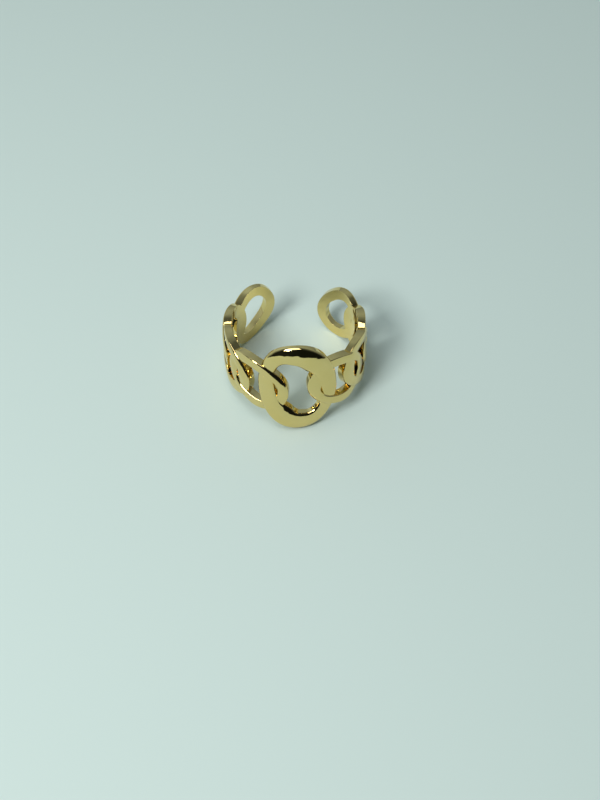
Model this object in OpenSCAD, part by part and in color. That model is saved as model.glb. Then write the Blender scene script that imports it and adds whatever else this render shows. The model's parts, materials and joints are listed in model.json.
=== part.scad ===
// Open chain link ring, one polished casting.
// Nine curb links run round the finger from a tall front link to two small end links.
// The back stays open between the two end links, so the ring can be eased wider or closer.
// It lies on its side, as it rests by itself: down on the front link and both end links.
// Sizes in millimetres, front toward -Y, floor at z = 0.

/* [Finger hollow and band] */
// Radius of the round finger hollow
bore_r = 8.65; // [8:0.05:10.5]
// Metal between the finger hollow and the face of a link
band_t = 1.15; // [0.9:0.05:1.8]
// Rise of the faces from their edges to the middle
face_crown = 0.08; // [0:0.01:0.2]
// How far the crossing arms of the front link stand out, and their mates lie in
front_lift = 0.26; // [0:0.01:0.4]
// The same for the side links
side_lift = 0.16; // [0:0.01:0.4]

/* [Front link] */
// Height of the front link along the finger
front_h = 14.5; // [10:0.1:16]
// Length of the front link round the finger
front_l = 11.4; // [9:0.1:14]
// Wire width at the left and right of the front link
front_wire = 2.2; // [1.4:0.05:2.8]
// Wire width at the top and bottom of the front link
front_bar = 2.7; // [1.6:0.05:3.4]
// Rounding of the front link's edges where it isn't broad
front_round = 0.5; // [0.2:0.02:0.6]
// How far the broad rounding of its top and bottom reaches over the face
front_edge = 1.4; // [0.4:0.05:1.6]
// How far the hole edge's rounding reaches over the face on the arms that cross on top
front_hole_edge = 1.5; // [0.4:0.05:1.6]
// How much wider those arms are, toward the hole
front_widen = 0.9; // [0:0.05:1]
// How far the broad roundings come down the sides
front_drop = 0.74; // [0.3:0.02:0.8]
// Turn of the front link on the band, top toward the left
front_lean = 5; // [0:0.5:12]

/* [Side links] */
// Height of a side link along the finger
side_h = 8.0; // [6:0.1:10]
// Length of a side link round the finger
side_l = 10.4; // [8:0.1:11.5]
// Length of the last side link before the end link
last_l = 9.2; // [8:0.1:11.5]
// Wire width at the ends of the first side links, next to the front link
first_wire = 1.6; // [1.2:0.05:2.6]
// How much wider their arms are that cross on top, toward the hole
first_widen = 0.2; // [0:0.05:0.6]
// Wire width at the ends of the other side links
side_wire = 2.2; // [1.4:0.05:2.6]
// Wire width at the top and bottom of a side link
side_bar = 1.4; // [1.1:0.05:2.2]
// Rounding of the side links' edges
side_round = 0.2; // [0.15:0.01:0.45]
// How far the outer rounding reaches over the face on the arms that cross on top
side_edge = 0.65; // [0.3:0.05:0.7]
// The same at the hole edge
side_hole_edge = 0.4; // [0.2:0.05:0.6]
// How far the broad roundings come down the sides
side_drop = 0.4; // [0.2:0.02:0.5]
// Slant of a side link on the band, right end down
side_lean = 20; // [0:0.5:35]

/* [End links] */
// Height of an end link along the finger
end_h = 7.6; // [6:0.1:10]
// Length of an end link round the finger
end_l = 9.4; // [7:0.1:11]
// Wire width of an end link
end_wire = 1.5; // [1.2:0.05:2]
// Rounding of the end links' edges
end_round = 0.35; // [0.15:0.01:0.5]
// Slant of an end link on the band, right end down
end_lean = 40; // [0:0.5:60]

/* [Spacing round the finger] */
// Angle from the front link to the first side link
first_turn = 37.5; // [32:0.5:40]
// Angle from the first side link to the second
side_turn = 33; // [30:0.5:36]
// Angle from the second side link to the last
last_turn = 30; // [28:0.5:36]
// Angle from the last side link to the end link
end_turn = 32.75; // [27:0.5:36]
// How far the open back sits off the middle
gap_shift = 3; // [0:0.25:6]

/* [Hidden] */
// squareness of the link ovals: 2 is an ellipse
oval = 2.25;
// stations round a link
stations = 32;
// how deep the swept links reach under the hollow's wall before it is cut
under = 0.5;
face_r = bore_r + band_t;

// A link is a row of its sizes, read by these names
function turn(L) = L[0];
function half_l(L) = L[1];
function half_h(L) = L[2];
function wire(L) = L[3];
function bar(L) = L[4];
function edge_round(L) = L[5];
function edge_reach(L) = L[6];
function hole_reach(L) = L[7];
function edge_drop(L) = L[8];
function slant(L) = L[9];
function lift(L) = L[10];
function widen(L) = L[11];

// A link at step i of the chain: 0 is the front, plus to the right
function link_turn(i) = let (
    n = abs(i),
    steps = [first_turn, side_turn, last_turn, end_turn])
  sign(i) * steps * [for (k = [1 : 4]) k <= n ? 1 : 0] - gap_shift * max(0, n - 1) / 3;
front_link = [0, front_l / 2, front_h / 2, front_wire, front_bar,
  front_round, front_edge, front_hole_edge, front_drop, front_lean, front_lift, front_widen];
function side_link(i) = [link_turn(i), (abs(i) < 3 ? side_l : last_l) / 2, side_h / 2,
  abs(i) == 1 ? first_wire : side_wire, side_bar, side_round, side_edge, side_hole_edge, side_drop,
  -side_lean, side_lift, abs(i) == 1 ? first_widen : 0];
function end_link(i) = [link_turn(i), end_l / 2, end_h / 2, end_wire, end_wire,
  end_round, end_round, end_round, end_round, -end_lean, side_lift, 0];
function link_row(i) = i == 0 ? front_link : abs(i) < 4 ? side_link(i) : end_link(i);
chain = [for (i = [-4 : 4]) link_row(i)];

// Middle line of a link's wire on the unrolled band, by the direction s it faces
function wire_mid(L, s) = let (
    a = half_l(L) - wire(L) / 2,
    b = half_h(L) - bar(L) / 2,
    q = oval / (oval - 1),
    x = abs(a * cos(s)),
    y = abs(b * sin(s)),
    d = pow(pow(x, q) + pow(y, q), 1 / oval))
  [sign(cos(s)) * a * pow(x, q - 1) / d, sign(sin(s)) * b * pow(y, q - 1) / d];
function turned(p, g) = [p[0] * cos(g) - p[1] * sin(g), p[0] * sin(g) + p[1] * cos(g)];
function wire_w(L, s) = wire(L) + (bar(L) - wire(L)) * pow(sin(s), 2);
// How much the arm crosses on top at s: 1 in the middle of the crossing, -1 where it lies under
function crossing(L, s) = sin(2 * (s + slant(L) / 2));
// Share of the broad rounding at the hole: on the arms that cross on top
function broad_hole(L, s) = pow(max(0, crossing(L, s)), 2);
// The same outside, which the front link has at its top and bottom instead
function broad(L, s) = turn(L) == 0 ? pow(sin(s), 2) : broad_hole(L, s);

// Cross-section of the wire: flat sides, rounded edges, slightly domed face.
// in and out are its widths toward the hole and away from it, t the thickness;
// each rounding is [over the face, down the side]
function section(in, out, t, hole, outer, low) = let (
    h = min(hole[0], 0.45 * (in + out)),
    o = min(outer[0], 0.45 * (in + out)))
  [
    [-in, -low],
    [-in, t - hole[1]],
    [-in + 0.3 * h, t - 0.3 * hole[1]],
    [-in + h, t],
    [(out - in + h - o) / 2, t + face_crown],
    [out - o, t],
    [out - 0.3 * o, t - 0.3 * outer[1]],
    [out, t - outer[1]],
    [out, -low]];
SIDES = 9;

// A point of the unrolled band laid round the finger, h above the hollow's wall
function on_band(L, p, h) = let (a = turn(L) + p[0] / face_r * 180 / PI)
  [(bore_r + h) * sin(a), -(bore_r + h) * cos(a), p[1]];
function rounding(L, reach, share) = let (r = edge_round(L))
  [r + (reach - r) * share, r + (edge_drop(L) - r) * share];
function station(L, s, low) = let (
    t = band_t + lift(L) * crossing(L, s),
    half = wire_w(L, s) / 2,
    in = half + widen(L) * pow(max(0, crossing(L, s)), 1.5),
    hole = rounding(L, hole_reach(L), broad_hole(L, s)),
    outer = rounding(L, edge_reach(L), broad(L, s)))
  [for (q = section(in, half, t, hole, outer, low))
    on_band(L, turned(wire_mid(L, s) + q[0] * [cos(s), sin(s)], slant(L)), q[1])];
function link_points(L, low) = [for (i = [0 : stations - 1]) each station(L, i * 360 / stations, low)];

module link(L) {
  polyhedron(
    link_points(L, under),
    [for (i = [0 : stations - 1], j = [0 : SIDES - 1]) let (
        m = (i + 1) % stations,
        n = (j + 1) % SIDES)
      each [
        [i * SIDES + j, m * SIDES + j, m * SIDES + n],
        [i * SIDES + j, m * SIDES + n, i * SIDES + n]]]);
}

// All wall points as they stand after the hollow is cut, for the height, the rest and the middle
raw = [for (L = chain) link_points(L, 0)];
raw_z = [for (P = raw, p = P) p[2]];
fit_z = front_h / (max(raw_z) - min(raw_z));
walls = [for (P = raw) [for (p = P) [p[0], p[1], p[2] * fit_z]]];

// Rest on the floor: the plane through the lowest points of the front link and both end links
function lowest(P, up) = let (
    h = [for (p = P) p * up])
  P[search(min(h), h)[0]];
function unit(v) = v / norm(v);
function rest_up(up, n) = n == 0 ? up : let (
    a = lowest(walls[4], up),
    b = lowest(walls[8], up),
    c = lowest(walls[0], up))
  rest_up(unit(cross(b - a, c - a)), n - 1);
up = rest_up([0, 0, 1], 4);
rest_axis = cross(up, [0, 0, 1]);
rest_angle = asin(norm(rest_axis));
// Rotation that brings 'up' upright
function stood(p) = let (
    k = unit(rest_axis),
    c = cos(rest_angle))
  p * c + cross(k, p) * sin(rest_angle) + k * (k * p) * (1 - c);
rest = [for (P = walls, p = P) stood(p)];
rest_x = [for (p = rest) p[0]];
rest_y = [for (p = rest) p[1]];
rest_z = [for (p = rest) p[2]];
seat = [
  -(min(rest_x) + max(rest_x)) / 2,
  -(min(rest_y) + max(rest_y)) / 2,
  -min(rest_z)];

// The fused chain, brought to the height of its front link
module chain_band() {
  resize([0, 0, front_h])
    union() {
      for (L = chain) link(L);
    }
}

module ring() {
  color("#d4af37")
    translate(seat)
      rotate(a = rest_angle, v = rest_axis)
        difference() {
          chain_band();
          cylinder(h = 2 * front_h, r = bore_r, center = true, $fn = 180);
        }
}

echo(up = up, rest_angle = rest_angle, seat = seat, hollow_axis = stood([0, 0, 1]));

ring();
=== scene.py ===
# Open chain link ring in polished gold: nine curb links fused into one band.
#
# The ring lies on its side as it rests by itself, front link toward -Y and the open back
# toward +Y. Sizes of the ring are in millimetres in its own frame, where the finger hollow
# runs along Z; the last step stands it on the floor in metres.

import json
import math

import bpy
import numpy as np
from bpy.props import BoolProperty, FloatProperty, FloatVectorProperty, PointerProperty
from bpy.types import Operator, Panel, PropertyGroup
from mathutils import Matrix, Vector


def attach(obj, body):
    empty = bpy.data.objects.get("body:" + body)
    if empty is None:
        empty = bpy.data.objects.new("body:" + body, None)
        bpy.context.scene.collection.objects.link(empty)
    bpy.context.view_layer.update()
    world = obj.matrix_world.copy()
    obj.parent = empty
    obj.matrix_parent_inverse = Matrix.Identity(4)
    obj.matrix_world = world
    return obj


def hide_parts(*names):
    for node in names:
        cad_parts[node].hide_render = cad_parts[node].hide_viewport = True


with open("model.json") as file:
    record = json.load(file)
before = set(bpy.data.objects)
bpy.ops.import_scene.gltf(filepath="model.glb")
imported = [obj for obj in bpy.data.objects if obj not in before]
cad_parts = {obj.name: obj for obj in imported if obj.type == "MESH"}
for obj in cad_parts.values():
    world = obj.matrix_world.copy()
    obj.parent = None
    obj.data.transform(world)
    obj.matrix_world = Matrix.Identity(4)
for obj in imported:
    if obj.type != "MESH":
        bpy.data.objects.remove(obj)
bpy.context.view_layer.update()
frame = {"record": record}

bl_info = {
    "name": "Chain link ring",
    "version": (1, 0, 0),
    "blender": (4, 5, 0),
    "location": "View3D > Sidebar > Ring",
    "description": "Builds an open curb chain ring in polished gold with its stage",
    "category": "Object",
}

MM = 0.001
BORE = next(m for m in frame["record"]["mounts"] if m["name"] == "finger_bore")


# Sizes and colours


class BandSizes(PropertyGroup):
    """The finger hollow and the metal round it."""

    bore_r: FloatProperty(
        name="Hollow radius", description="Radius of the round finger hollow, mm",
        default=BORE["dims"]["r_mm"], min=7.0, max=12.0)
    band_t: FloatProperty(
        name="Band thickness", description="Metal between the hollow and a link's face, mm",
        default=1.15, min=0.8, max=2.0)
    crown: FloatProperty(
        name="Face crown", description="Rise of a face from its edges to its middle, mm",
        default=0.08, min=0.0, max=0.3)
    oval: FloatProperty(
        name="Oval squareness", description="2 is an ellipse, more is squarer",
        default=2.25, min=2.0, max=4.0)


class LinkSizes(PropertyGroup):
    """One kind of link: its oval, its wire and how it lies on the band."""

    length: FloatProperty(name="Length", description="Round the finger, mm", default=10.4)
    height: FloatProperty(name="Height", description="Along the finger, mm", default=8.0)
    wire: FloatProperty(
        name="Wire at the ends", description="Wire width left and right, mm", default=2.2)
    bar: FloatProperty(
        name="Wire at the bars", description="Wire width at top and bottom, mm", default=1.4)
    edge_round: FloatProperty(
        name="Edge rounding", description="Where it is narrow, over the face and down the side, mm",
        default=0.1)
    outer_reach: FloatProperty(
        name="Broad outer rounding", description="How far it reaches over the face, mm", default=0.65)
    hole_reach: FloatProperty(
        name="Broad hole rounding", description="The same at the edge of the link's hole, mm",
        default=0.4)
    drop: FloatProperty(
        name="Rounding depth", description="How far the broad roundings come down the sides, mm",
        default=0.4)
    broad_bars: BoolProperty(
        name="Broad top and bottom", description="Broad outer rounding there, not on the crossing arms",
        default=False)
    lean: FloatProperty(
        name="Slant", description="Turn of the oval on the band",
        default=math.radians(-20), subtype="ANGLE")
    widen: FloatProperty(
        name="Crossing width",
        description="How much wider the arms crossing on top are, toward the hole, mm",
        default=0.0)
    heel: FloatProperty(
        name="Heel width", description="How much wider the left end is, toward the hole, mm",
        default=0.0)
    lift: FloatProperty(
        name="Crossing lift", description="How far crossing arms stand out and lie in, mm",
        default=0.16)


class SpacingSizes(PropertyGroup):
    """How the links follow one another round the finger, to the left and to the right."""

    first_turn: FloatProperty(
        name="First turn", description="From the front link to the first side link",
        default=math.radians(37.5), subtype="ANGLE")
    side_turn: FloatProperty(
        name="Side turn", description="From the first side link to the second",
        default=math.radians(33.0), subtype="ANGLE")
    last_turn: FloatProperty(
        name="Last turn", description="From the second side link to the last",
        default=math.radians(30.0), subtype="ANGLE")
    end_turn: FloatProperty(
        name="End turn", description="From the last side link to the end link",
        default=math.radians(32.75), subtype="ANGLE")
    gap_shift: FloatProperty(
        name="Gap shift", description="How far the open back sits off the middle",
        default=math.radians(3.0), subtype="ANGLE")


class GoldFinish(PropertyGroup):
    """The polished plating."""

    color: FloatVectorProperty(
        name="Gold", description="Colour of the plating", subtype="COLOR", size=3,
        default=(0.80, 0.63, 0.26), min=0.0, max=1.0)
    roughness: FloatProperty(
        name="Roughness", description="Of the clean polish", default=0.035, min=0.0, max=1.0)
    wave: FloatProperty(
        name="Wave", description="Soft unevenness left by casting and polishing", default=0.16)
    scratches: FloatProperty(
        name="Scratches", description="Depth of fine wear lines", default=0.04)


class StageLook(PropertyGroup):
    """Floor, lights and camera."""

    floor_color: FloatVectorProperty(
        name="Floor", description="Colour of the pale floor", subtype="COLOR", size=3,
        default=(0.62, 0.75, 0.70), min=0.0, max=1.0)
    panel_size: FloatVectorProperty(
        name="Panel size", description="Ceiling panel across and along the view", size=2,
        default=(0.28, 0.22), unit="LENGTH")
    panel_place: FloatVectorProperty(
        name="Panel place", description="Middle of the ceiling panel", size=3,
        default=(-0.07, -0.02, 0.42), subtype="TRANSLATION", unit="LENGTH")
    panel_power: FloatProperty(
        name="Panel power", description="Light of the ceiling panel", default=0.56, unit="POWER")
    key_size: FloatProperty(
        name="Key size", description="Side of the square key light", default=0.14, unit="LENGTH")
    key_place: FloatVectorProperty(
        name="Key place", description="Middle of the key light, which casts the soft shadow", size=3,
        default=(-0.21, -0.19, 0.31), subtype="TRANSLATION", unit="LENGTH")
    key_power: FloatProperty(
        name="Key power", description="Light of the key light", default=1.06, unit="POWER")
    camera_height: FloatProperty(
        name="Camera elevation", description="Angle of the view above the floor",
        default=math.radians(55.4), subtype="ANGLE")
    camera_turn: FloatProperty(
        name="Camera turn", description="Turn of the view round the ring",
        default=math.radians(-2.4), subtype="ANGLE")
    camera_distance: FloatProperty(
        name="Camera distance", description="From the camera to the ring", default=0.174, unit="LENGTH")
    focal_px: FloatProperty(
        name="Focal length", description="In pixels of an image 800 pixels tall", default=1227.0)


# One link as a swept wire

# Steps round a link, down each side, round each edge and over the face
STATIONS = 144
WALL_STEPS = 2
ROUND_STEPS = 9
FACE_STEPS = 8
# How deep a link reaches under the hollow's wall before it is cut, mm
UNDER = 0.5
# The most of the wire's width that a rounding takes, at the hole and outside
HOLE_MOST = 0.48
OUTER_MOST = 0.55
# How quickly the broad roundings and the extra widths fade along the arms
HOLE_FADE = 2
OUTER_FADE = 1.3
WIDEN_FADE = 1.5
HEEL_FADE = 2
# Broad bars: the clockwise turn of their rounding, in radians, and the bottom's share of it
BARS_TURN = 0.14
BOTTOM_SHARE = 0.45
# Steps round the finger hollow
HOLLOW_SIDES = 360
# The attribute that keeps the smooth normals while the links are joined and cut
NORMAL = "polish_normal"
# A kept normal shorter than this was lost in the cut
SHORTEST_NORMAL = 0.2
# A kept normal is wrong when its cosine to the face is below this, except on slivers of less area, mm2
LEAST_COSINE = 0.3
SLIVER = 1e-4
# Fewer faces than this mean that the links did not fuse
FEWEST_FACES = 1000


def section_points(inner, outer, top, hole_edge, outer_edge, crown, low):
    """Cross-section of the wire, (across, up) rows from its hole side; roundings are (over, down)."""
    width = inner + outer
    hole_over = min(hole_edge[0], HOLE_MOST * width)
    outer_over = min(outer_edge[0], OUTER_MOST * width)
    hole_low = top - hole_edge[1]
    outer_low = top - outer_edge[1]
    rows = [(-inner, -low + (hole_low + low) * k / WALL_STEPS) for k in range(WALL_STEPS)]
    for k in range(ROUND_STEPS):
        a = math.pi / 2 * k / ROUND_STEPS
        rows.append((-inner + hole_over * (1 - math.cos(a)), hole_low + hole_edge[1] * math.sin(a)))
    flat = width - hole_over - outer_over
    rise = crown * (flat / width) ** 2
    for k in range(FACE_STEPS + 1):
        f = k / FACE_STEPS
        rows.append((-inner + hole_over + flat * f, top + rise * 4 * f * (1 - f)))
    for k in range(1, ROUND_STEPS + 1):
        a = math.pi / 2 * (1 - k / ROUND_STEPS)
        rows.append((outer - outer_over * (1 - math.cos(a)), outer_low + outer_edge[1] * math.sin(a)))
    for k in range(1, WALL_STEPS + 1):
        rows.append((outer, outer_low - (outer_low + low) * k / WALL_STEPS))
    return np.array(rows)


def link_surface(band, link):
    """Points (stations, rows, 3) of one link round the finger, and the outward normals there."""
    s = np.linspace(0.0, 2 * np.pi, STATIONS, endpoint=False)
    a = (link.length - link.wire) / 2
    b = (link.height - link.bar) / 2
    q = band.oval / (band.oval - 1)
    x = np.abs(a * np.cos(s))
    y = np.abs(b * np.sin(s))
    d = (x ** q + y ** q) ** (1 / band.oval)
    mid_x = np.sign(np.cos(s)) * a * x ** (q - 1) / d
    mid_y = np.sign(np.sin(s)) * b * y ** (q - 1) / d
    mid = np.stack([mid_x, mid_y], 1)
    out = np.stack([np.cos(s), np.sin(s)], 1)
    g = link.lean
    turn = np.array([[math.cos(g), -math.sin(g)], [math.sin(g), math.cos(g)]])
    face_r = band.bore_r + band.band_t
    # 1 in the middle of an arm that crosses on top, -1 where it lies under
    crossing = np.sin(2 * (s + g / 2))
    on_top = np.maximum(0, crossing)
    broad_hole = on_top ** HOLE_FADE
    bars = np.sin(s + BARS_TURN) ** 2 * np.where(s < np.pi, 1.0, BOTTOM_SHARE)
    broad = bars if link.broad_bars else on_top ** OUTER_FADE
    extra = link.widen * ((1 + crossing) / 2) ** WIDEN_FADE
    extra += link.heel * np.maximum(0, -np.cos(s)) ** HEEL_FADE
    narrow = link.edge_round
    pts = []
    for i in range(STATIONS):
        width = link.wire + (link.bar - link.wire) * math.sin(s[i]) ** 2
        top = band.band_t + link.lift * crossing[i]
        hole = [narrow + (v - narrow) * broad_hole[i] for v in (link.hole_reach, link.drop)]
        outer = [narrow + (v - narrow) * broad[i] for v in (link.outer_reach, link.drop)]
        rows = section_points(width / 2 + extra[i], width / 2, top, hole, outer, band.crown, UNDER)
        flat = (mid[i] + rows[:, :1] * out[i]) @ turn.T
        angle = flat[:, 0] / face_r
        r = band.bore_r + rows[:, 1]
        pts.append(np.stack([r * np.sin(angle), -r * np.cos(angle), flat[:, 1]], 1))
    pts = np.array(pts)
    along = np.roll(pts, -1, 0) - np.roll(pts, 1, 0)
    across = np.gradient(pts, axis=1)
    normal = np.cross(across, along)
    normal /= np.linalg.norm(normal, axis=2, keepdims=True)
    return pts, normal


def link_mesh(name, band, link):
    """A closed mesh of one link, with its smooth normals kept on the corners."""
    pts, normal = link_surface(band, link)
    n, k = pts.shape[:2]
    index = np.arange(n * k).reshape(n, k)
    nxt = np.roll(index, -1, 0)
    quads = []
    for j in range(k):
        m = (j + 1) % k
        quads.append(np.stack([index[:, j], index[:, m], nxt[:, m], nxt[:, j]], 1))
    quads = np.concatenate(quads)
    mesh = bpy.data.meshes.new(name)
    mesh.from_pydata(pts.reshape(-1, 3).tolist(), [], quads.tolist())
    mesh.update()
    corner = normal.reshape(-1, 3)[quads.ravel()]
    keep = mesh.attributes.new(NORMAL, "FLOAT_VECTOR", "CORNER")
    keep.data.foreach_set("vector", corner.astype(np.float32).ravel())
    return mesh


def hollow_mesh(name, band, height):
    """The cutter for the finger hollow; its kept normals face the finger."""
    sides = HOLLOW_SIDES
    a = np.linspace(0.0, 2 * np.pi, sides, endpoint=False)
    ring = np.stack([band.bore_r * np.sin(a), -band.bore_r * np.cos(a)], 1)
    low = np.column_stack([ring, np.full(sides, -height)])
    high = np.column_stack([ring, np.full(sides, height)])
    i = np.arange(sides)
    j = (i + 1) % sides
    faces = np.stack([i, j, j + sides, i + sides], 1).tolist()
    faces += [list(range(sides - 1, -1, -1)), list(range(sides, 2 * sides))]
    mesh = bpy.data.meshes.new(name)
    mesh.from_pydata(np.concatenate([low, high]).tolist(), [], faces)
    mesh.update()
    corner = []
    for face in faces:
        is_end = len(face) > 4
        for v in face:
            p = ring[v % sides] / band.bore_r
            end = (0.0, 0.0, -1.0 if v < sides else 1.0)
            corner.append(end if is_end else (-p[0], -p[1], 0.0))
    keep = mesh.attributes.new(NORMAL, "FLOAT_VECTOR", "CORNER")
    keep.data.foreach_set("vector", np.array(corner, np.float32).ravel())
    return mesh


# The row of links round the finger


def math_node(tree, operation, a, b=None):
    """A Math node with its inputs linked or set."""
    node = tree.nodes.new("ShaderNodeMath")
    node.operation = operation
    for socket, value in zip(node.inputs, (a, b)):
        if value is None:
            continue
        if isinstance(value, (int, float)):
            socket.default_value = value
        else:
            tree.links.new(value, socket)
    return node.outputs[0]


def link_pair_tree():
    """Geometry Nodes: one link laid twice round the finger, left and right of the front."""
    tree = bpy.data.node_groups.new("Link pair round the finger", "GeometryNodeTree")
    face = tree.interface
    face.new_socket("Geometry", in_out="OUTPUT", socket_type="NodeSocketGeometry")
    face.new_socket("Link", in_out="INPUT", socket_type="NodeSocketGeometry")
    sockets = {}
    kinds = {"Turn": "NodeSocketFloat", "Shift": "NodeSocketFloat", "Gold": "NodeSocketMaterial"}
    for label, kind in kinds.items():
        sockets[label] = face.new_socket(label, in_out="INPUT", socket_type=kind).identifier
    given = tree.nodes.new("NodeGroupInput")
    made = tree.nodes.new("NodeGroupOutput")
    points = tree.nodes.new("GeometryNodePoints")
    points.inputs["Count"].default_value = 2
    index = tree.nodes.new("GeometryNodeInputIndex").outputs[0]
    side = math_node(tree, "SUBTRACT", math_node(tree, "MULTIPLY", index, 2), 1)
    angle = math_node(tree, "SUBTRACT", math_node(tree, "MULTIPLY", side, given.outputs["Turn"]),
                      given.outputs["Shift"])
    about_z = tree.nodes.new("ShaderNodeCombineXYZ")
    tree.links.new(angle, about_z.inputs["Z"])
    copies = tree.nodes.new("GeometryNodeInstanceOnPoints")
    tree.links.new(points.outputs[0], copies.inputs["Points"])
    tree.links.new(given.outputs["Link"], copies.inputs["Instance"])
    tree.links.new(about_z.outputs[0], copies.inputs["Rotation"])
    real = tree.nodes.new("GeometryNodeRealizeInstances")
    finish = tree.nodes.new("GeometryNodeSetMaterial")
    tree.links.new(copies.outputs[0], real.inputs[0])
    tree.links.new(real.outputs[0], finish.inputs["Geometry"])
    tree.links.new(given.outputs["Gold"], finish.inputs["Material"])
    tree.links.new(finish.outputs[0], made.inputs[0])
    return tree, sockets


def new_object(name, data):
    """An object of the data, at the origin of the scene."""
    obj = bpy.data.objects.new(name, data)
    bpy.context.scene.collection.objects.link(obj)
    return obj


def applied(obj, name):
    """A plain mesh object of what the modifiers make; the maker object is removed."""
    graph = bpy.context.evaluated_depsgraph_get()
    made = obj.evaluated_get(graph)
    mesh = bpy.data.meshes.new_from_object(made, preserve_all_data_layers=True, depsgraph=graph)
    bpy.data.objects.remove(obj)
    mesh.name = name
    return new_object(name, mesh)


def laid_pair(name, mesh, tree, sockets, turn, shift, gold):
    """One link mesh laid twice by the node tree, as a plain mesh object."""
    obj = new_object(name + "_maker", mesh)
    mod = obj.modifiers.new("Pair", "NODES")
    mod.node_group = tree
    for label, value in (("Turn", turn), ("Shift", shift), ("Gold", gold)):
        mod[sockets[label]] = value
    obj = applied(obj, name)
    # the kept normals aren't turned with the copies by the tree, so they are turned here
    nor = np.empty(len(obj.data.loops) * 3, np.float32)
    obj.data.attributes[NORMAL].data.foreach_get("vector", nor)
    for side, half in zip((-1, 1), nor.reshape(2, -1, 3)):
        a = side * turn - shift
        turned = [[math.cos(a), math.sin(a)], [-math.sin(a), math.cos(a)]]
        half[:, :2] = half[:, :2] @ np.array(turned, np.float32)
    obj.data.attributes[NORMAL].data.foreach_set("vector", nor)
    return obj


def joined(objects, name):
    """All the objects' meshes as one mesh object, corners and normals kept."""
    verts = []
    faces = []
    normals = []
    base = 0
    for obj in objects:
        mesh = obj.data
        co = np.empty(len(mesh.vertices) * 3, np.float32)
        mesh.vertices.foreach_get("co", co)
        verts.append(co.reshape(-1, 3))
        faces += [[base + v for v in p.vertices] for p in mesh.polygons]
        nor = np.empty(len(mesh.loops) * 3, np.float32)
        mesh.attributes[NORMAL].data.foreach_get("vector", nor)
        normals.append(nor)
        base += len(mesh.vertices)
        bpy.data.objects.remove(obj)
    mesh = bpy.data.meshes.new(name)
    mesh.from_pydata(np.concatenate(verts).tolist(), [], faces)
    mesh.update()
    keep = mesh.attributes.new(NORMAL, "FLOAT_VECTOR", "CORNER")
    keep.data.foreach_set("vector", np.concatenate(normals))
    return new_object(name, mesh)


def polish_normals(mesh):
    """Turns the kept corner normals, cut along with the faces, into the mesh's own."""
    nor = np.empty(len(mesh.loops) * 3, np.float32)
    mesh.attributes[NORMAL].data.foreach_get("vector", nor)
    nor = nor.reshape(-1, 3)
    size = np.linalg.norm(nor, axis=1, keepdims=True)
    face = np.empty(len(mesh.polygons) * 3, np.float32)
    mesh.polygons.foreach_get("normal", face)
    count = np.empty(len(mesh.polygons), np.int32)
    mesh.polygons.foreach_get("loop_total", count)
    flat = np.repeat(face.reshape(-1, 3), count, 0)
    nor = np.where(size > SHORTEST_NORMAL, nor / np.maximum(size, SHORTEST_NORMAL), flat)
    area = np.empty(len(mesh.polygons), np.float32)
    mesh.polygons.foreach_get("area", area)
    against = ((nor * flat).sum(1) < LEAST_COSINE) & (np.repeat(area, count) > SLIVER)
    nor[against] = flat[against]
    mesh.attributes.remove(mesh.attributes[NORMAL])
    mesh.shade_smooth()
    mesh.normals_split_custom_set(nor.tolist())


def standing():
    """Rotation and place of the ring's own frame on the floor, from the finger hollow's mount."""
    axis = Vector(BORE["axis"]).normalized()
    rest = Vector((0, 0, 1)).rotation_difference(axis).to_matrix().to_4x4()
    return Matrix.Translation(BORE["pos_m"]) @ rest @ Matrix.Scale(MM, 4)


# Polished gold

# Scales of the noises per metre: handling haze, tint, casting waves, and wear lines by axis
HAZE_SCALE = 420.0
TINT_SCALE = 230.0
WAVE_SCALE = 560.0
LINE_SCALE = (900.0, 900.0, 9000.0)
LINE_TURN = (0.5, 0.3, 0.9)
# How much rougher the haze is, heights of the waves and lines, and reach of the worn edges, m
HAZE_GAIN = 1.9
WAVE_DEPTH = 0.0006
LINE_DEPTH = 0.00004
WORN_EDGE = 0.00005
# Shares of the gold's colour in its warmer and its paler patches, by the tint noise
TINTS = ((0.3, (0.97, 0.955, 0.9)), (0.7, (1.02, 1.02, 1.08)))


def shader(tree, kind, **values):
    """A shader node with its named inputs linked or set."""
    node = tree.nodes.new(kind)
    for label, value in values.items():
        socket = node.inputs[label.replace("_", " ")]
        if isinstance(value, bpy.types.NodeSocket):
            tree.links.new(value, socket)
        else:
            socket.default_value = value
    return node


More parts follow.
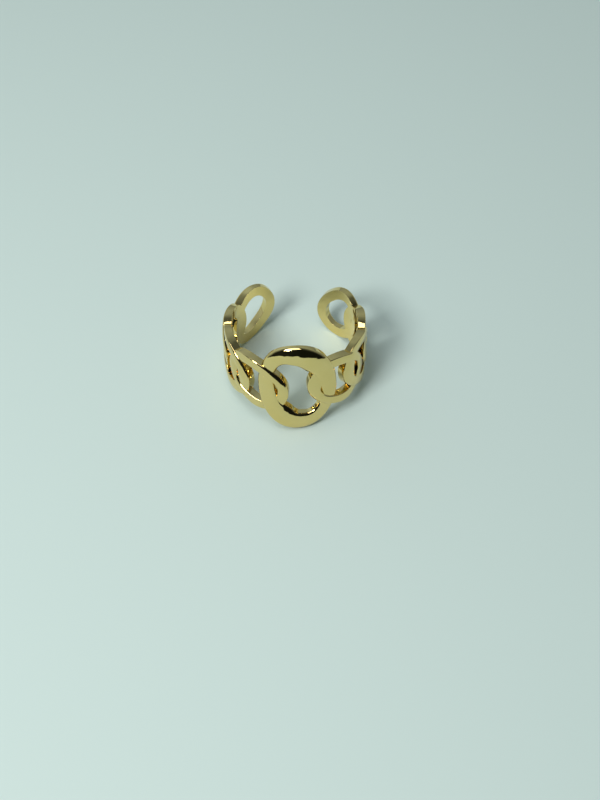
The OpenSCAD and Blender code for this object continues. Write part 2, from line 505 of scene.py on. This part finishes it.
def polished_gold(look):
    """Mirror-polished gold plating: soft casting waves, fine wear lines, patches of handling haze."""
    mat = bpy.data.materials.new("polished_gold")
    mat.use_nodes = True
    tree = mat.node_tree
    tree.nodes.clear()
    place = tree.nodes.new("ShaderNodeTexCoord").outputs["Object"]

    haze = shader(tree, "ShaderNodeTexNoise", Vector=place, Scale=HAZE_SCALE, Detail=4.0, Roughness=0.6)
    rough = shader(tree, "ShaderNodeMapRange", Value=haze.outputs["Fac"], From_Min=0.35, From_Max=0.75,
                   To_Min=look.roughness, To_Max=look.roughness * HAZE_GAIN)

    tint = shader(tree, "ShaderNodeTexNoise", Vector=place, Scale=TINT_SCALE, Detail=3.0)
    ramp = shader(tree, "ShaderNodeValToRGB", Fac=tint.outputs["Fac"])
    for element, (position, share) in zip(ramp.color_ramp.elements, TINTS):
        element.position = position
        element.color = (*(min(1, v * k) for v, k in zip(look.color, share)), 1)

    wave = shader(tree, "ShaderNodeTexNoise", Vector=place, Scale=WAVE_SCALE, Detail=1.5, Roughness=0.45)
    soft = shader(tree, "ShaderNodeBump", Strength=look.wave, Distance=WAVE_DEPTH,
                  Height=wave.outputs["Fac"])

    stretch = shader(tree, "ShaderNodeMapping", Vector=place, Scale=LINE_SCALE, Rotation=LINE_TURN)
    lines = shader(tree, "ShaderNodeTexNoise", Vector=stretch.outputs[0], Scale=1.0, Detail=3.0)
    fine = shader(tree, "ShaderNodeBump", Strength=look.scratches, Distance=LINE_DEPTH,
                  Height=lines.outputs["Fac"], Normal=soft.outputs[0])

    edge = shader(tree, "ShaderNodeBevel", Radius=WORN_EDGE, Normal=fine.outputs[0])
    gold = shader(tree, "ShaderNodeBsdfPrincipled", Metallic=1.0,
                  Base_Color=ramp.outputs["Color"], Roughness=rough.outputs["Result"],
                  Normal=edge.outputs[0])
    shader(tree, "ShaderNodeOutputMaterial", Surface=gold.outputs[0])
    return mat


# Studio

# Light of the surroundings by the turn about the axis from left to right: 0 is the horizon behind,
# a quarter is overhead, a half is the horizon toward the viewer and three quarters is below
SKY = ((0.0, 0.30), (0.09, 0.43), (0.14, 0.36), (0.19, 0.10), (0.28, 0.03), (0.35, 0.010),
       (0.72, 0.010), (0.85, 0.10), (1.0, 0.28))
SKY_TINT = (0.76, 0.93, 1.0)
SIDE_GREY = (0.22, 0.26, 0.28, 1)
# Edges of the floor, m
FLOOR_SIDE = 0.068
FLOOR_NEAR = -0.067
FLOOR_FAR = 0.1
# Height of the camera's sensor in mm, the image and the place of the ring's base in it in pixels
SENSOR = 24.0
IMAGE_W = 600.0
IMAGE_H = 800.0
BASE_X = 295.5
BASE_Y = 370.0


def studio_world():
    """Soft surroundings by direction: grey behind and at the sides, dark toward the viewer."""
    world = bpy.data.worlds.new("studio")
    world.use_nodes = True
    tree = world.node_tree
    way = tree.nodes.new("ShaderNodeTexCoord").outputs["Generated"]
    parts = shader(tree, "ShaderNodeSeparateXYZ", Vector=way)
    round_x = math_node(tree, "ARCTAN2", parts.outputs["Z"], parts.outputs["Y"])
    turns = math_node(tree, "DIVIDE", round_x, 2 * math.pi)
    share = math_node(tree, "FRACT", math_node(tree, "ADD", turns, 1.0))
    arc = shader(tree, "ShaderNodeValToRGB", Fac=share)
    while len(arc.color_ramp.elements) < len(SKY):
        arc.color_ramp.elements.new(0.5)
    for element, (position, value) in zip(arc.color_ramp.elements, SKY):
        element.position = position
        element.color = (*(value * tint for tint in SKY_TINT), 1)
    # the sides are grey behind and stay dark toward the viewer
    aside = math_node(tree, "POWER", math_node(tree, "ABSOLUTE", parts.outputs["X"]), 2.0)
    behind = shader(tree, "ShaderNodeMapRange", Value=parts.outputs["Y"], From_Min=-0.35, From_Max=0.35)
    aside = math_node(tree, "MULTIPLY", aside, behind.outputs["Result"])
    # inputs 6 and 7 and output 2 of the mix are its colours
    mix = tree.nodes.new("ShaderNodeMix")
    mix.data_type = "RGBA"
    tree.links.new(aside, mix.inputs[0])
    tree.links.new(arc.outputs["Color"], mix.inputs[6])
    mix.inputs[7].default_value = SIDE_GREY
    # lighter to the left
    level = shader(tree, "ShaderNodeMapRange", Value=parts.outputs["X"], From_Min=-0.5, From_Max=0.0,
                   To_Min=1.8, To_Max=0.98)
    backdrop = tree.nodes["Background"]
    tree.links.new(mix.outputs[2], backdrop.inputs["Color"])
    tree.links.new(level.outputs["Result"], backdrop.inputs["Strength"])
    return world


def pale_floor(look):
    """The plain plate that the ring lies on."""
    corners = [(-FLOOR_SIDE, FLOOR_NEAR, 0), (FLOOR_SIDE, FLOOR_NEAR, 0),
               (FLOOR_SIDE, FLOOR_FAR, 0), (-FLOOR_SIDE, FLOOR_FAR, 0)]
    mesh = bpy.data.meshes.new("floor")
    mesh.from_pydata(corners, [], [(0, 1, 2, 3)])
    floor = new_object("floor", mesh)
    mat = bpy.data.materials.new("pale_floor")
    mat.use_nodes = True
    paint = mat.node_tree.nodes["Principled BSDF"]
    paint.inputs["Base Color"].default_value = (*look.floor_color, 1)
    paint.inputs["Roughness"].default_value = 0.75
    mesh.materials.append(mat)


def studio_light(name, size, place, power):
    """A soft rectangular light that faces the ring."""
    light = bpy.data.lights.new(name, "AREA")
    light.shape = "RECTANGLE"
    light.size, light.size_y = size
    light.energy = power
    obj = new_object(name, light)
    obj.location = place
    obj.rotation_euler = (-Vector(place)).to_track_quat("-Z", "Y").to_euler()


def aimed_camera(look):
    """The camera, aimed so that the middle of the ring's base shows at its place in the image."""
    camera = bpy.data.cameras.new("camera")
    camera.sensor_fit = "VERTICAL"
    camera.sensor_height = SENSOR
    camera.lens = SENSOR * look.focal_px / IMAGE_H
    camera.clip_start = 0.005
    obj = new_object("camera", camera)
    e = look.camera_height
    turn = Matrix.Rotation(look.camera_turn, 3, "Z")
    ahead = turn @ Vector((0, math.cos(e), -math.sin(e)))
    right = turn @ Vector((1, 0, 0))
    up = right.cross(ahead)
    ray = ahead + right * ((BASE_X - IMAGE_W / 2) / look.focal_px)
    ray -= up * ((BASE_Y - IMAGE_H / 2) / look.focal_px)
    turned = Matrix((right, up, -ahead)).transposed().to_4x4()
    obj.matrix_world = Matrix.Translation(-ray * look.camera_distance) @ turned
    return obj


# Operators


class RING_OT_band(Operator):
    """Sweep the links, lay them round the finger, fuse them and cut the finger hollow"""

    bl_idname = "ring.band"
    bl_label = "Chain band"

    def execute(self, context):
        scene = context.scene
        band, spacing = scene.ring_band, scene.ring_spacing
        gold = polished_gold(scene.ring_gold)
        tree, sockets = link_pair_tree()
        links = [new_object("front_link", link_mesh("front_link", band, scene.ring_front))]
        turn = 0.0
        steps = (("first_pair", scene.ring_first, spacing.first_turn),
                 ("second_pair", scene.ring_second, spacing.side_turn),
                 ("last_pair", scene.ring_last, spacing.last_turn),
                 ("end_pair", scene.ring_end, spacing.end_turn))
        # the open back's shift grows from none at the first pair to all of it at the end pair
        for n, (name, sizes, step) in enumerate(steps):
            turn += step
            shift = spacing.gap_shift * n / (len(steps) - 1)
            mesh = link_mesh(name, band, sizes)
            links.append(laid_pair(name, mesh, tree, sockets, turn, shift, gold))

        links = joined(links, "links")
        z = np.array([v.co.z for v in links.data.vertices])
        fit = scene.ring_front.height / (z.max() - z.min())
        links.data.transform(Matrix.Diagonal((1, 1, fit, 1)))

        cutter = new_object("finger_hollow", hollow_mesh("finger_hollow", band, scene.ring_front.height))
        cut = links.modifiers.new("Hollow", "BOOLEAN")
        cut.operation = "DIFFERENCE"
        cut.solver = "EXACT"
        cut.use_self = True
        cut.object = cutter
        ring = applied(links, "chain_ring")
        bpy.data.objects.remove(cutter)

        ring.data.materials.clear()
        ring.data.materials.append(gold)
        polish_normals(ring.data)
        ring.data.transform(standing())
        if len(ring.data.polygons) < FEWEST_FACES:
            raise RuntimeError("the links did not fuse")
        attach(ring, "root")
        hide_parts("ring")
        return {"FINISHED"}


class RING_OT_stage(Operator):
    """Set the pale floor, the soft studio light and the camera"""

    bl_idname = "ring.stage"
    bl_label = "Stage"

    def execute(self, context):
        scene = context.scene
        look = scene.ring_stage
        pale_floor(look)
        scene.world = studio_world()
        studio_light("ceiling_panel", look.panel_size, look.panel_place, look.panel_power)
        studio_light("key_light", (look.key_size, look.key_size), look.key_place, look.key_power)
        scene.camera = aimed_camera(look)
        scene.view_settings.view_transform = "Standard"
        return {"FINISHED"}


class RING_PT_panel(Panel):
    """Sizes, finish and stage of the ring"""

    bl_label = "Ring"
    bl_space_type = "VIEW_3D"
    bl_region_type = "UI"
    bl_category = "Ring"

    def draw(self, context):
        layout = self.layout
        for name, (title, _) in GROUPS.items():
            group = getattr(context.scene, name)
            box = layout.box()
            box.label(text=title)
            for key in group.bl_rna.properties.keys():
                if key not in ("rna_type", "name"):
                    box.prop(group, key)
        layout.operator(RING_OT_band.bl_idname)
        layout.operator(RING_OT_stage.bl_idname)


CLASSES = (BandSizes, LinkSizes, SpacingSizes, GoldFinish, StageLook,
           RING_OT_band, RING_OT_stage, RING_PT_panel)
GROUPS = {
    "ring_band": ("Band", BandSizes),
    "ring_front": ("Front link", LinkSizes),
    "ring_first": ("First side links", LinkSizes),
    "ring_second": ("Second side links", LinkSizes),
    "ring_last": ("Last side links", LinkSizes),
    "ring_end": ("End links", LinkSizes),
    "ring_spacing": ("Spacing", SpacingSizes),
    "ring_gold": ("Gold", GoldFinish),
    "ring_stage": ("Stage", StageLook),
}
# What each kind of link has otherwise than a plain side link
LINKS = {
    "ring_front": dict(
        length=11.4, height=14.5, wire=2.1, bar=2.45, edge_round=0.45, outer_reach=1.6, hole_reach=1.75,
        drop=0.74, broad_bars=True, lean=math.radians(5), widen=1.15, lift=0.26),
    "ring_first": dict(wire=1.5, heel=0.6, outer_reach=0.8, drop=0.6),
    "ring_second": dict(wire=2.3),
    "ring_last": dict(length=9.2),
    "ring_end": dict(
        length=9.4, height=7.6, wire=1.5, bar=1.5, edge_round=0.3, outer_reach=0.3, hole_reach=0.3,
        drop=0.3, lean=math.radians(-40)),
}


def register():
    for cls in CLASSES:
        bpy.utils.register_class(cls)
    for name, (_, group) in GROUPS.items():
        setattr(bpy.types.Scene, name, PointerProperty(type=group))


def unregister():
    for name in GROUPS:
        delattr(bpy.types.Scene, name)
    for cls in reversed(CLASSES):
        bpy.utils.unregister_class(cls)


def main():
    register()
    scene = bpy.context.scene
    for name, values in LINKS.items():
        for key, value in values.items():
            setattr(getattr(scene, name), key, value)
    bpy.ops.ring.band()
    bpy.ops.ring.stage()


if __name__ == "__main__":
    main()
